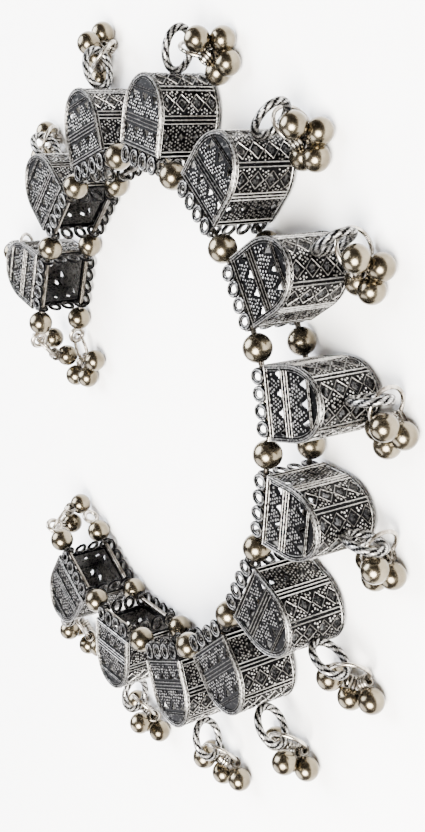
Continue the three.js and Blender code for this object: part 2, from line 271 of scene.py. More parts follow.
def on_wrap(drawn, lift):
    """Points and normals for drawn points (way, z), lifted off the wrap's sheet."""
    way, z = drawn[..., 0], drawn[..., 1]
    at = [np.interp(way, WAY, OUTLINE[:, k]) for k in (0, 1)]
    normal = unit(np.stack([np.interp(way, WAY, OUTLINE_NORMALS[:, k]) for k in (0, 1)], -1))
    normals = np.concatenate([normal, np.zeros_like(way)[..., None]], -1)
    points = np.stack([at[0], at[1], z], -1) + normals * np.asarray(lift - RELIEF)
    return points, normals


def on_plate(end):
    """The same for an end plate, at end = 1 or -1."""
    def place(drawn, lift):
        """The sheet is level at z = GROUND, and lift goes outwards along z."""
        normals = np.zeros(drawn.shape[:-1] + (3,)) + [0, 0, end]
        height = np.full(drawn.shape[:-1], end * GROUND)
        points = np.concatenate([drawn, height[..., None]], -1) + normals * lift
        return points, normals
    return place


def inside_vault(drawn):
    """Distance inside the plate's outline: straight legs, and an ellipse above them."""
    x, y = drawn[..., 0], drawn[..., 1]
    half, rise = LINK_WIDTH / 2, LINK_HEIGHT - LEG_HEIGHT
    above = np.maximum(y - LEG_HEIGHT, 0)
    level = np.hypot(x / half, above / rise) + 1e-9
    slope = np.hypot(x / half ** 2, above / rise ** 2) / level + 1e-9
    return np.minimum((1 - level) / slope, y + SHEET_LIP)


def outside_polygon(drawn, corners):
    """Distance outside a convex polygon whose corners go anticlockwise."""
    corners = np.asarray(corners, float)
    edge = np.roll(corners, -1, axis=0) - corners
    normal = unit(np.stack([edge[:, 1], -edge[:, 0]], -1))
    return ((drawn[..., None, :] - corners) * normal).sum(-1).max(-1)


def hole_row(corners, first, step, count):
    """A row of equal holes: a function of drawn points giving the distance outside them."""
    first, step = np.array(first, float), np.array(step, float)

    def clear(drawn):
        """Distance outside the nearest hole along the row."""
        which = np.round(((drawn - first) @ step) / (step @ step)).clip(0, count - 1)
        return outside_polygon(drawn - first - which[..., None] * step, corners)
    return clear


def triangle(half_width, depth):
    """A triangle that points down, from the middle of its top side."""
    return [(-half_width, 0), (0, -depth), (half_width, 0)]


def diamond(half_u, half_v):
    """A diamond, from its middle."""
    return [(half_u, 0), (0, half_v), (-half_u, 0), (0, -half_v)]


def pierced_sheet(place, u_line, v_line, clear, tint):
    """A sheet on a grid, cut away where clear(drawn) is negative.
    Grid points within half a cell of a cut's edge move onto it along the slope of clear. Each
    kept cell is a quad on both skins, and each side of it that has no neighbour gets a wall."""
    step, least = 0.01, 0.02            # for the slope; what a kept cell's middle has to clear
    drawn = np.stack(np.meshgrid(u_line, v_line, indexing="ij"), -1)
    distance = clear(drawn)
    slope = np.stack([
        clear(drawn + [step, 0]) - clear(drawn - [step, 0]),
        clear(drawn + [0, step]) - clear(drawn - [0, step])], -1) / (2 * step)
    near = np.abs(distance) < 0.5 * CELL
    drawn = drawn - np.where(near, distance, 0)[..., None] * slope
    centre = (drawn[:-1, :-1] + drawn[1:, :-1] + drawn[1:, 1:] + drawn[:-1, 1:]) / 4
    keep = clear(centre) > least
    top, _ = place(drawn, 0.0)
    bottom, _ = place(drawn, -SHEET)
    skin = keep.shape[0] + 1, keep.shape[1] + 1
    index = np.arange(skin[0] * skin[1]).reshape(skin)
    a, b, c, d = index[:-1, :-1], index[1:, :-1], index[1:, 1:], index[:-1, 1:]
    padded = np.pad(keep, 1)
    quads = [np.stack([a, b, c, d], -1)[keep], (np.stack([d, c, b, a], -1) + index.size)[keep]]
    sides = [(a, b, padded[1:-1, :-2]), (b, c, padded[2:, 1:-1]),
             (c, d, padded[1:-1, 2:]), (d, a, padded[:-2, 1:-1])]
    for p, q, neighbour in sides:
        wall = np.stack([q, p, p + index.size, q + index.size], -1)
        quads.append(wall[keep & ~neighbour])
    quads = np.concatenate(quads)
    points = np.concatenate([top.reshape(-1, 3), bottom.reshape(-1, 3)])
    worn = np.concatenate([tint(drawn).ravel(), np.full(index.size, UNDERSIDE_WORN)])
    used, quads = np.unique(quads, return_inverse=True)
    return surface(points[used], quads.reshape(-1, 4), worn=worn[used])


def facing_out(sheet, centre):
    """The sheet with its top skin facing away from a point, whatever way its grid ran."""
    corners = sheet.points[sheet.quads]
    normal = np.cross(corners[:, 1] - corners[:, 0], corners[:, 3] - corners[:, 0])
    first = (normal[0] @ (corners[0, 0] - centre)) > 0
    return sheet if first else sheet._replace(quads=sheet.quads[:, ::-1])


def drawn_bars(place, lines, half_width, height, worn):
    """Half-round bars along lines (count, steps, 2) drawn on a face."""
    points, normals = place(np.asarray(lines, float), 0.0)
    return bars(points, normals, half_width, height, worn)


def polygon_lines(corners, first, step, count):
    """The sides of a row of equal polygons, as lines of two points."""
    corners = np.asarray(corners, float)
    side = np.stack([corners, np.roll(corners, -1, axis=0)], 1)
    shift = np.array(first, float) + np.arange(count)[:, None] * np.array(step, float)
    return (side[None] + shift[:, None, None]).reshape(-1, 2, 2)


def granulation(place, low, high, clear, seed, reference):
    """Domes on a hexagonal grid over a rectangle, kept where clear(drawn) is above a dome."""
    hexagonal = 0.866
    rows = np.arange(low[1], high[1], GRANULE_PITCH * hexagonal)
    columns = np.arange(low[0], high[0], GRANULE_PITCH)
    u, v = np.meshgrid(columns, rows, indexing="ij")
    shift = 0.5 * GRANULE_PITCH * (np.arange(len(rows)) % 2)
    drawn = np.stack([u + shift, v], -1).reshape(-1, 2)
    rng = np.random.default_rng(seed)
    drawn = drawn + rng.uniform(-GRANULE_JITTER, GRANULE_JITTER, drawn.shape)
    inside = ((drawn > np.array(low)) & (drawn < np.array(high))).all(-1)
    drawn = drawn[inside & (clear(drawn) > GRANULE_CLEARANCE)]
    points, normals = place(drawn, 0.0)
    across = np.cross(reference, normals)
    axes = np.stack([across, np.cross(normals, across), normals], 1)
    size = rng.uniform(*GRANULE_SPREAD, (len(drawn), 1, 1))
    return repeated(granule(GRANULE_SIZE, GRANULE_SIZE), points, axes * size)


# ---- one link -----------------------------------------------------------------------------

def plate(end):
    """An end plate: two granulated panels with triangular holes between ridges, and a smooth
    crescent under the rim of the arch."""
    place = on_plate(end)
    half, rise = LINK_WIDTH / 2, LINK_HEIGHT - LEG_HEIGHT
    pitch = LINK_WIDTH / SCALLOPS
    edge, border, ornament_border = 0.08, 0.9, 0.95     # margins inside the outline
    crescent_from = 8.7
    crescent_worn, hole_edge_worn = 0.12, 0.15
    low_row = hole_row(triangle(0.66, 1.12), (-1.5 * pitch, 2.93), (pitch, 0), 4)
    high_row = hole_row(triangle(0.74, 1.42), (-pitch, 7.9), (pitch, 0), 3)
    low_panel, high_panel = (0.85, 3.1), (4.85, 8.1)

    def clear_of_holes(drawn):
        """Distance outside the holes of both rows."""
        return np.minimum(low_row(drawn), high_row(drawn))

    def clear(drawn):
        """Distance outside the holes and inside the sheet's edge."""
        return np.minimum(clear_of_holes(drawn), inside_vault(drawn) - edge)

    def clear_of_ornament(drawn):
        """Distance outside the holes' borders and inside the ridges of the rim."""
        return np.minimum(clear_of_holes(drawn) - HOLE_BORDER,
                          inside_vault(drawn) - ornament_border)

    def tint(drawn):
        """The sheet is black, and a little rubbed in the crescent and at the holes."""
        crescent = (drawn[..., 1] > crescent_from) & (inside_vault(drawn) > border)
        at_hole = clear_of_holes(drawn) < HOLE_EDGE
        return np.where(crescent, crescent_worn, np.where(at_hole, hole_edge_worn, 0.0))

    across = np.linspace(-half, half, round(LINK_WIDTH / CELL) + 1)
    out = np.linspace(-SHEET_LIP, LINK_HEIGHT, round(LINK_HEIGHT / CELL) + 2)
    sheet = facing_out(pierced_sheet(place, across, out, clear, tint), np.array([0, 5.0, 0]))

    def chord(y, margin):
        """A line across the plate at y that ends a margin inside the outline."""
        reach = half * math.sqrt(1 - (max(y - LEG_HEIGHT, 0) / rise) ** 2) - margin
        return [[-reach, y], [reach, y]]

    def rim(margin):
        """The outline, moved in by a margin."""
        way = np.linspace(-0.1, WRAP_WAY + 0.1, 34)
        at = np.stack([np.interp(way, WAY, OUTLINE[:, k]) for k in (0, 1)], -1)
        normal = np.stack([np.interp(way, WAY, OUTLINE_NORMALS[:, k]) for k in (0, 1)], -1)
        return (at - margin * unit(normal))[None]

    # Each row: the lines, the half width and height of their bars, and how rubbed they are; these
    # rubbed shares are set below the wrap's as painted shade, which dims the plates under the
    # lamps' highlights.
    ridges = [
        (rim(0.17), 0.16, RELIEF, 0.7),
        (rim(0.53), 0.11, 0.2, 0.5),
        (rim(0.84), 0.1, 0.16, 0.45),
        ([chord(0.02, 0.1)], 0.17, RELIEF, 0.62),
        ([chord(0.5, 0.6)], 0.12, 0.18, 0.52),
        ([chord(y, 0.8) for y in (3.42, 3.95, 4.48)], 0.13, 0.22, 0.6),
        ([chord(y, 0.75) for y in (8.32, 8.62)], 0.09, 0.2, 0.5),
    ]
    granules = join([
        granulation(place, (-half, low), (half, high), clear_of_ornament, seed, [0, 1, 0])
        for seed, (low, high) in ((3, low_panel), (4, high_panel))])
    # Painted shade: the plate's granules are dimmed by a share.
    granules = granules._replace(worn=PLATE_GRANULES_SHADE_FACTOR * granules.worn)
    return join([sheet] + [drawn_bars(place, *ridge) for ridge in ridges] + [granules])


def wrap():
    """The band over the vault, from leg to leg: ridges along the wrist axis between panels of
    granules and lozenges with diamond holes."""
    edge = LINK_LENGTH / 2 - 0.12
    wire_border, panel_half_length, hole_edge_worn = 0.12, 4.5, 0.3
    pitch = LINK_LENGTH / SCALLOPS
    leg_hole, haunch_hole, crown_hole = diamond(0.5, 0.45), diamond(0.62, 0.5), diamond(0.66, 0.55)
    leg, haunch, crown = 2.75, 7.6, CROWN_WAY - 1.75        # ways up to the rows of holes
    rows = [(leg_hole, leg), (haunch_hole, haunch), (crown_hole, crown),
            (crown_hole, WRAP_WAY - crown), (haunch_hole, WRAP_WAY - haunch),
            (leg_hole, WRAP_WAY - leg)]
    holes = [hole_row(shape, (way, -1.5 * pitch), (0, pitch), SCALLOPS) for shape, way in rows]

    def clear_of_holes(drawn):
        """Distance outside the holes of all rows."""
        return np.min([hole(drawn) for hole in holes], axis=0)

    def clear(drawn):
        """Distance outside the holes and inside the sheet's edge."""
        return np.minimum(clear_of_holes(drawn), edge - np.abs(drawn[..., 1]))

    def tint(drawn):
        """The sheet is black, and a little rubbed at the holes."""
        return np.where(clear_of_holes(drawn) < HOLE_EDGE, hole_edge_worn, 0.0)

    lozenge = diamond(1.25, 1.2)
    wires = np.concatenate([
        polygon_lines(lozenge, (way, -1.5 * pitch), (0, pitch), SCALLOPS) for _, way in rows[1:5]])

    def clear_of_ornament(drawn):
        """Distance outside the holes' borders and the lozenges' wires, inside the panels' ends.
        The nearest point of a wire is at its start plus a share, kept in 0 to 1, of its side."""
        start, end = wires[:, 0], wires[:, 1]
        along = end - start
        share = ((drawn[:, None] - start) * along).sum(-1) / (along ** 2).sum(-1)
        nearest = start + share.clip(0, 1)[..., None] * along
        wire = np.linalg.norm(drawn[:, None] - nearest, axis=-1).min(-1)
        away = np.minimum(clear_of_holes(drawn) - HOLE_BORDER, wire - wire_border)
        return np.minimum(away, panel_half_length - np.abs(drawn[..., 1]))

    way = np.linspace(-SHEET_LIP, WRAP_WAY + SHEET_LIP, round(WRAP_WAY / CELL))
    along = np.linspace(-edge, edge, round(LINK_LENGTH / CELL) + 1)
    sheet = pierced_sheet(on_wrap, way, along, clear, tint)
    sheet = facing_out(sheet, np.array([0, 4.0, 0]))

    ridge_ways = [0.05, 0.62, 4.6, 5.15, 5.7, 9.45, 10.05]
    ridge_ways += [WRAP_WAY - way for way in ridge_ways]
    run = np.linspace(-0.1, WRAP_WAY + 0.1, 40)

    def round_the_vault(z):
        """Two lines from leg to leg, at -z and z."""
        return [np.stack([run, np.full(40, side * z)], -1) for side in (-1, 1)]

    reach = 4.7
    # Each row: the lines, the half width and height of their bars, and how rubbed they are.
    ridges = [
        ([[[way, -reach], [way, reach]] for way in ridge_ways], 0.15, RELIEF, 0.95),
        (round_the_vault(4.92), 0.13, RELIEF * 0.9, 0.9),
        (round_the_vault(4.62), 0.09, 0.18, 0.8),
        (wires, 0.1, 0.18, 0.85),
    ]
    panels = [(0.8, 4.35), (5.95, 9.2), (10.3, WRAP_WAY - 10.3),
              (WRAP_WAY - 9.2, WRAP_WAY - 5.95), (WRAP_WAY - 4.35, WRAP_WAY - 0.8)]
    granules = [
        granulation(on_wrap, (low, -reach), (high, reach), clear_of_ornament, seed, [0, 0, 1])
        for seed, (low, high) in enumerate(panels, 10)]
    return join([sheet] + [drawn_bars(on_wrap, *ridge) for ridge in ridges] + granules)


def scallop():
    """A scallop: two long rings of wire, one inside the other, in the XY plane. It is rubbed
    where it stands out of the plane, and black on its inner and outer sides."""
    rings = []
    for radius, radius_y, wire, steps in ((0.93, 1.15, 0.25, 24), (0.6, 0.82, 0.14, 20)):
        one = ring(radius, wire, steps, 8, radius_y)
        rings.append(one._replace(worn=0.5 * (np.abs(one.points[:, 2]) / wire) ** 4))
    return join(rings)


def scallop_rows():
    """The scallops along the four base edges, standing in the planes of the edges."""
    plate_inset, flank_inset, tucked_in = 0.3, 0.25, 0.15
    plate_pitch, flank_pitch = PLATE_ROW_WIDTH / SCALLOPS, LINK_LENGTH / SCALLOPS
    steps = np.arange(SCALLOPS) - (SCALLOPS - 1) / 2
    one = scallop()
    height = np.full(SCALLOPS, tucked_in - SCALLOP_DROP)
    rows = []
    for end in (-1, 1):
        place = np.full(SCALLOPS, end * (LINK_LENGTH / 2 - plate_inset))
        rows.append(repeated(one, np.stack([steps * plate_pitch, height, place], -1)))
        place = np.full(SCALLOPS, end * (FLANK_FACE - flank_inset))
        on_side = np.array([[0, 0, 1.0], [0, 1.0, 0], [-1.0, 0, 0]])
        rows.append(repeated(one, np.stack([place, height, steps * flank_pitch], -1), on_side))
    return join(rows)


def base_frame():
    """The thick edge of the vault's open base, inside the scallops."""
    inset_x, inset_z, above_base = LINK_WIDTH / 2 - 0.45, LINK_LENGTH / 2 - 0.5, 0.1
    half_width, height, worn = 0.42, 0.3, 0.05
    corners = np.array([[inset_x, above_base, inset_z], [-inset_x, above_base, inset_z],
                        [-inset_x, above_base, -inset_z], [inset_x, above_base, -inset_z]])
    sides = np.stack([corners, np.roll(corners, -1, axis=0)], 1)
    return bars(sides, np.zeros(sides.shape) + [0, -1.0, 0], half_width, height, worn)


def crown_loop():
    """The roped ring on the crown, upright in the plane of the wrist axis."""
    rope = ring(LOOP_RADIAL, LOOP_ROD, 56, 16, LOOP_AXIAL, strands=4, turns=3)
    in_place = np.array([[0, 1.0, 0], [0, 0, 1.0], [1.0, 0, 0]])
    return repeated(rope, [[0, LOOP_CENTRE, 0]], in_place)


# ---- where things are ---------------------------------------------------------------------

Place = namedtuple("Place", "base onward outward")


def node_points(node):
    """The corners of a CAD node's solid, in millimetres."""
    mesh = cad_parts[node].data
    points = np.zeros(len(mesh.vertices) * 3, np.float32)
    mesh.vertices.foreach_get("co", points)
    return points.reshape(-1, 3).astype(float) * 1000


def link_place(node):
    """A link's base middle and level directions, from its CAD solid: its narrowest level
    direction is the one to the next link."""
    points = node_points(node)[:, :2]
    angles = np.radians(np.arange(0, 180, 0.02))
    across = points @ np.stack([np.cos(angles), np.sin(angles)])
    turn = angles[np.argmin(across.max(0) - across.min(0))]
    onward = np.array([math.cos(turn), math.sin(turn)])
    outward = np.array([-onward[1], onward[0]])
    if outward @ points.mean(0) < 0:
        onward, outward = -onward, -outward
    middle = ((points @ onward).max() + (points @ onward).min()) / 2
    base = onward * middle + outward * ((points @ outward).max() - LOOP_TIP)
    return Place(np.append(base, 0), np.append(onward, 0), np.append(outward, 0))


def link_point(place, across, out, height):
    """A point from a link's base middle: towards the next link, outwards and up."""
    return place.base + across * place.onward + out * place.outward + height * UP


def node_heights(node):
    """The lowest and highest level of a CAD node, in millimetres."""
    low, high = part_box(node)
    return low.z * 1000, high.z * 1000


numbers = [f"{i + 1:02d}" for i in range(LINK_COUNT)]
places = [link_place(f"link_{number}") for number in numbers]
middle_height = sum(node_heights("link_01")) / 2
flank_pitch = LINK_LENGTH / SCALLOPS
wire_offset = 1.5 * flank_pitch
spacer_radius = node_heights("front_string")[1] - (middle_height + wire_offset)


def end_eye_centre(ball_centre, away):
    """The middle of the eye beyond an end ball, lifted where it would touch the floor."""
    centre = ball_centre + away * (spacer_radius + END_EYE_RADIUS + END_EYE_GAP)
    centre[2] = max(centre[2], END_EYE_RADIUS + END_EYE_WIRE + EYE_ABOVE_FLOOR)
    return centre


def string_ends(height):
    """The end balls' centres and the directions that the wire ends point in."""
    reach = FLANK_FACE + END_BALL_GAP + spacer_radius
    first, last = places[0], places[-1]
    return [(link_point(first, -reach, -SCALLOP_DROP, height), -first.onward),
            (link_point(last, reach, -SCALLOP_DROP, height), last.onward)]


def string(height):
    """The wire through the links, the balls between them, and an upright eye at each end."""
    ends = string_ends(height)
    route = [ends[0][0]]
    for place in places:
        route += [link_point(place, side * FLANK_FACE, -SCALLOP_DROP, height)
                  for side in (-1, 1)]
    route.append(ends[1][0])
    route = np.array(route)
    centres = np.concatenate([route[:1], (route[2:-2:2] + route[3:-1:2]) / 2, route[-1:]])
    balls = repeated(ball(spacer_radius, 32, 20), centres)
    eyes = []
    for centre, away in ends:
        axes = np.array([away, UP, np.cross(away, UP)])
        eyes.append(repeated(ring(END_EYE_RADIUS, END_EYE_WIRE, 36, 12),
                             [end_eye_centre(centre, away)], axes))
    return balls, join([rod(route, WIRE_RADIUS, 12)] + eyes)


# Degrees round the jump ring and degrees that the shank fans out, for each bell of a bunch.
SPREADS = {
    "pair": [(-40, -35), (40, 35)],
    "three": [(-35, -55), (0, 0), (35, 55)],
}
STEEPEST = 0.97                  # share of a bell's reach that it may hang down
TOP_BELL = (3.0, 1.9, 3.25)      # along and beside the hook, and above the other bells


def shank_turn():
    """One turn of a bell's shank: bright round its outside, and black towards the grooves beside it
    as painted shade from the turns next to it.
    """
    turn = ring(SHANK_RADIUS, SHANK_WIRE, 20, 8)
    return turn._replace(worn=1 - (turn.points[:, 2] / SHANK_WIRE) ** 2)


def bell_at(centre, wire_point, wire_along):
    """A ball, and the shank on it: a coil of three turns that the jump ring's wire goes through."""
    towards = unit(wire_point - centre)
    axis = unit(wire_along - (wire_along @ towards) * towards)
    axes = np.array([towards, np.cross(axis, towards), axis])
    steps = np.array([-1, 0, 1])[:, None]
    turns = centre + towards * SHANK_REACH + axis * SHANK_PITCH * steps
    hang = SHANK_RADIUS * math.hypot(*axes[:2, 2])
    turns[:, 2] = np.maximum(turns[:, 2], SHANK_WIRE + WIRE_ABOVE_FLOOR + hang)
    coil = repeated(shank_turn(), turns, axes)
    return repeated(ball(BELL_RADIUS, 28, 18), [centre], axes), coil


def bunch(hook, rod_radius, rod_along, lie, slope, hand, spread, top_bell):
    """A jump ring round a rod at hook, leaning down by slope towards lie, with its bells.
    lean = lie cos(slope) - up sin(slope); the ring lies in the plane of lean and rod_along's
    normal, pulled out to its slack; a bell hangs at each turn round it and rests on the floor."""
    lean = lie * math.cos(math.radians(slope)) - UP * math.sin(math.radians(slope))
    normal = unit(rod_along - (rod_along @ lean) * lean)
    across = np.cross(normal, lean)
    level = np.cross(UP, lie) * hand
    if across @ level < 0:
        across = -across
    pulled_out = JUMP_RING_RADIUS - JUMP_RING_WIRE - rod_radius - JUMP_RING_SLACK
    centre = hook + lean * pulled_out
    axes = np.array([lean, across, np.cross(lean, across)])
    lowest = centre[2] - JUMP_RING_RADIUS * math.hypot(lean[2], across[2]) - JUMP_RING_WIRE
    centre = centre + UP * max(WIRE_ABOVE_FLOOR - lowest, 0)

    def on_ring(degrees):
        """A point at some degrees round the jump ring, and the wire's direction there."""
        turn = math.radians(degrees)
        spoke = lean * math.cos(turn) + across * math.sin(turn)
        along = across * math.cos(turn) - lean * math.sin(turn)
        return centre + JUMP_RING_RADIUS * spoke, along

    jump_ring = repeated(ring(JUMP_RING_RADIUS, JUMP_RING_WIRE, 44, 10), [centre], axes)
    rest = BELL_RADIUS + BELL_ABOVE_FLOOR
    bells = []
    for degrees, fan_out in SPREADS[spread]:
        wire_point, along = on_ring(degrees)
        fall = min(wire_point[2] - rest, STEEPEST * BELL_REACH)
        reach = math.sqrt(BELL_REACH ** 2 - fall ** 2)
        fan = math.radians(fan_out)
        middle = wire_point + reach * (lie * math.cos(fan) + level * math.sin(fan)) - UP * fall
        bells.append(bell_at(middle, wire_point, along))
    if top_bell:
        along, beside, above = TOP_BELL
        top = hook + lie * along + level * beside
        top[2] = rest + above
        turns = range(30, 120, 10)
        turn = min(turns, key=lambda t: abs(np.linalg.norm(on_ring(t)[0] - top) - BELL_REACH))
        bells.append(bell_at(top, *on_ring(turn)))
    balls, coils = zip(*bells)
    return join(balls), join([jump_ring, *coils])


def crown_bunch(place, lie_degrees, hook_below, hand):
    """The bunch of a crown loop, hooked some degrees round the loop's tip towards the floor."""
    turn = math.radians(hook_below)
    hook = link_point(place, 0, LOOP_CENTRE + LOOP_RADIAL * math.cos(turn),
                      middle_height - LOOP_AXIAL * math.sin(turn))
    rod_along = place.outward * math.sin(turn) + UP * math.cos(turn)
    lie = math.radians(lie_degrees)
    slope = 20 if hook_below > 60 else 38
    return bunch(hook, LOOP_ROD, rod_along,
                 place.onward * math.cos(lie) + place.outward * math.sin(lie),
                 slope, hand, "three", True)


def end_bunch(front, end, hook_below, lie_degrees, slope, spread):
    """The bunch of a string's end eye, hooked some degrees below the eye's far side."""
    height = middle_height + (wire_offset if front else -wire_offset)
    ball_centre, away = string_ends(height)[end]
    lie = math.radians(lie_degrees)
    below = math.radians(hook_below)
    hook = (end_eye_centre(ball_centre, away)
            + END_EYE_RADIUS * (away * math.cos(below) - UP * math.sin(below)))
    rod_along = away * math.sin(below) + UP * math.cos(below)
    return bunch(hook, END_EYE_WIRE, rod_along,
                 away * math.cos(lie) + places[-1 if end else 0].outward * math.sin(lie),
                 slope, 1, spread, False)


# ---- materials ----------------------------------------------------------------------------

def linear(hex_colour):
    """A linear RGBA colour from an sRGB hex string."""
    values = [int(hex_colour[k:k + 2], 16) / 255 for k in (1, 3, 5)]
    return [v / 12.92 if v <= 0.04045 else ((v + 0.055) / 1.055) ** 2.4 for v in values] + [1.0]


def noise_scale(size):
    """The scale of a noise in metres whose patches are a size in millimetres."""
    return 1000 / size


def new_material(name):
    """A material and its node tree, still empty."""
    material = bpy.data.materials.new(name)
    material.use_nodes = True
    tree = material.node_tree
    tree.nodes.clear()
    return material, tree


def add(tree, kind, settings=None, **inputs):
    """A node of a kind with its settings. An input is named, or numbered as i0, i1 and so on,
    and is a value, a colour string or another node's socket."""
    node = tree.nodes.new(kind)
    for key, value in (settings or {}).items():
        setattr(node, key, value)
    for key, value in inputs.items():
        numbered = key[0] == "i" and key[1:].isdigit()
        socket = node.inputs[int(key[1:]) if numbered else key.replace("_", " ")]
        if isinstance(value, bpy.types.NodeSocket):
            tree.links.new(value, socket)
        else:
            socket.default_value = linear(value) if isinstance(value, str) else value
    return node


def oxidised_silver():
    """Cast silver, blackened with liver of sulphur and rubbed bright on its high places: the eye
    sees grey-white ridges and granules on a black ground, cloudy where the rub was uneven."""
    grain, cloud = 0.38, 3.8            # the cast skin's pits, drawn coarse to show; the rub
    material, tree = new_material("oxidised_silver")
    place = add(tree, "ShaderNodeTexCoord").outputs["Object"]
    worn = add(tree, "ShaderNodeAttribute", {"attribute_name": "worn"}).outputs["Fac"]
    fine = add(tree, "ShaderNodeTexNoise", Vector=place, Scale=noise_scale(grain),
               Detail=3.0).outputs["Fac"]
    broad = add(tree, "ShaderNodeTexNoise", Vector=place, Scale=noise_scale(cloud),
                Detail=2.0).outputs["Fac"]
    shift = add(tree, "ShaderNodeMath", {"operation": "MULTIPLY_ADD"}, i0=fine, i1=1.3, i2=worn)
    shift = add(tree, "ShaderNodeMath", {"operation": "MULTIPLY_ADD"},
                i0=broad, i1=0.35, i2=shift.outputs[0])
    bright = add(tree, "ShaderNodeMapRange",
                 i0=shift.outputs[0], i1=1.05, i2=1.8, i3=0.0, i4=1.0).outputs[0]
    colour = add(tree, "ShaderNodeMix", {"data_type": "RGBA"}, i0=bright, i6="#060607",
                 i7="#b0aeab").outputs[2]
    rough = add(tree, "ShaderNodeMapRange", i0=bright, i1=0.0, i2=1.0, i3=0.45, i4=0.36)
    bump = add(tree, "ShaderNodeBump", Strength=0.25, Distance=0.00006, Height=fine)
    shader = add(tree, "ShaderNodeBsdfPrincipled", Base_Color=colour, Metallic=1.0,
                 Roughness=rough.outputs[0], Normal=bump.outputs[0])
    add(tree, "ShaderNodeOutputMaterial", Surface=shader.outputs[0])
    return material


def polished_silver():
    """Balls of rolled silver, polished and slightly yellowed: the eye sees mirror highlights
    and a warm brown film that is uneven from place to place."""
    film, hairline = 2.4, 0.3           # patches of the film; hairlines, drawn coarse to show
    material, tree = new_material("polished_silver")
    place = add(tree, "ShaderNodeTexCoord").outputs["Object"]
    broad = add(tree, "ShaderNodeTexNoise", Vector=place, Scale=noise_scale(film),
                Detail=3.0).outputs["Fac"]
    fine = add(tree, "ShaderNodeTexNoise", Vector=place, Scale=noise_scale(hairline),
               Detail=2.0).outputs["Fac"]
    yellowed = add(tree, "ShaderNodeMapRange", i0=broad, i1=0.35, i2=0.7, i3=0.0, i4=1.0)
    colour = add(tree, "ShaderNodeMix", {"data_type": "RGBA"}, i0=yellowed.outputs[0],
                 i6="#6f6757", i7="#4d463a").outputs[2]
    rough = add(tree, "ShaderNodeMapRange", i0=fine, i1=0.3, i2=0.75, i3=0.17, i4=0.3)
    bump = add(tree, "ShaderNodeBump", Strength=0.05, Distance=0.00003, Height=fine)
    shader = add(tree, "ShaderNodeBsdfPrincipled", Base_Color=colour, Metallic=1.0,
                 Roughness=rough.outputs[0], Normal=bump.outputs[0])
    add(tree, "ShaderNodeOutputMaterial", Surface=shader.outputs[0])
    return material


def ring_silver():
    """Drawn silver wire, coiled and soldered: the eye sees bright turns, dull and brown in
    patches, and black in the grooves between them, which is painted shade where turns shade each
    other."""
    tarnish_size = 1.1
    material, tree = new_material("ring_silver")
    place = add(tree, "ShaderNodeTexCoord").outputs["Object"]
    noise = add(tree, "ShaderNodeTexNoise", Vector=place, Scale=noise_scale(tarnish_size),
                Detail=3.0).outputs["Fac"]
    tarnish = add(tree, "ShaderNodeMapRange", i0=noise, i1=0.4, i2=0.68, i3=0.0,
                  i4=1.0).outputs[0]
    wire = add(tree, "ShaderNodeMix", {"data_type": "RGBA"}, i0=tarnish, i6="#aaa49a",
               i7="#5f574e").outputs[2]
    worn = add(tree, "ShaderNodeAttribute", {"attribute_name": "worn"}).outputs["Fac"]
    # Low worn turns the colour near black; on a shank's turns this is painted shade in the grooves
    # between them.
    colour = add(tree, "ShaderNodeMix", {"data_type": "RGBA"}, i0=worn, i6="#0b0a09",
                 i7=wire).outputs[2]
    rough = add(tree, "ShaderNodeMapRange", i0=tarnish, i1=0.0, i2=1.0, i3=0.2, i4=0.4)
    bump = add(tree, "ShaderNodeBump", Strength=0.12, Distance=0.00004, Height=noise)
    shader = add(tree, "ShaderNodeBsdfPrincipled", Base_Color=colour, Metallic=1.0,
                 Roughness=rough.outputs[0], Normal=bump.outputs[0])
    add(tree, "ShaderNodeOutputMaterial", Surface=shader.outputs[0])
    return material


# ---- pieces -------------------------------------------------------------------------------

def make_piece(name, parts, node):
    """A Blender object from (surface, material) pairs; it stands for a CAD node."""
    whole = join([part for part, _ in parts])
    mesh = bpy.data.meshes.new(name)
    for _, material in parts:
        mesh.materials.append(material)
    sizes = np.repeat([4, 3], [len(whole.quads), len(whole.triangles)])
    mesh.vertices.add(len(whole.points))
    mesh.vertices.foreach_set("co", (whole.points * 0.001).astype(np.float32).ravel())
    mesh.loops.add(int(sizes.sum()))
    mesh.loops.foreach_set(
        "vertex_index", np.concatenate([whole.quads.ravel(), whole.triangles.ravel()]))
    mesh.polygons.add(len(sizes))
    mesh.polygons.foreach_set("loop_start", np.concatenate([[0], np.cumsum(sizes)[:-1]]))
    index = [np.repeat(np.arange(len(parts)), [len(getattr(p, kind)) for p, _ in parts])
             for kind in ("quads", "triangles")]
    mesh.polygons.foreach_set("material_index", np.concatenate(index))
    mesh.update(calc_edges=True)
    mesh.validate()
    mesh.polygons.foreach_set("use_smooth", np.ones(len(mesh.polygons), bool))
    mesh.set_sharp_from_angle(angle=math.radians(40))
    mesh.attributes.new("worn", "FLOAT", "POINT").data.foreach_set(
        "value", whole.worn.astype(np.float32))
    obj = bpy.data.objects.new(name, mesh)
    bpy.context.scene.collection.objects.link(obj)
    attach(obj, "root")
    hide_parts(node)
    return obj


OXIDISED, POLISHED, RING = oxidised_silver(), polished_silver(), ring_silver()

one_link = join([plate(1), plate(-1), wrap(), base_frame(), scallop_rows(), crown_loop()])
# Degrees from the way to the next link to the way the bells lie, degrees round the crown loop
# to where the jump ring hooks, and the hand of the bunch.
crown_bunches = [
    (168, 40, -1), (165, 40, 1), (165, 40, -1), (-10, 80, 1), (-10, 80, 1), (-10, 80, 1),
    (-20, 80, 1), (-15, 80, 1), (10, 40, -1), (30, 40, 1), (52, 40, -1), (70, 40, 1),
    (120, 40, -1)]
for number, place, settings in zip(numbers, places, crown_bunches):
    axes = np.array([place.onward, place.outward, np.cross(place.onward, place.outward)])
    link = repeated(one_link, [place.base + middle_height * UP], axes)
    make_piece(f"silver_link_{number}", [(link, OXIDISED)], f"link_{number}")
    balls, rings = crown_bunch(place, *settings)
    make_piece(f"silver_bells_{number}", [(balls, POLISHED), (rings, RING)],
               f"bells_{number}")

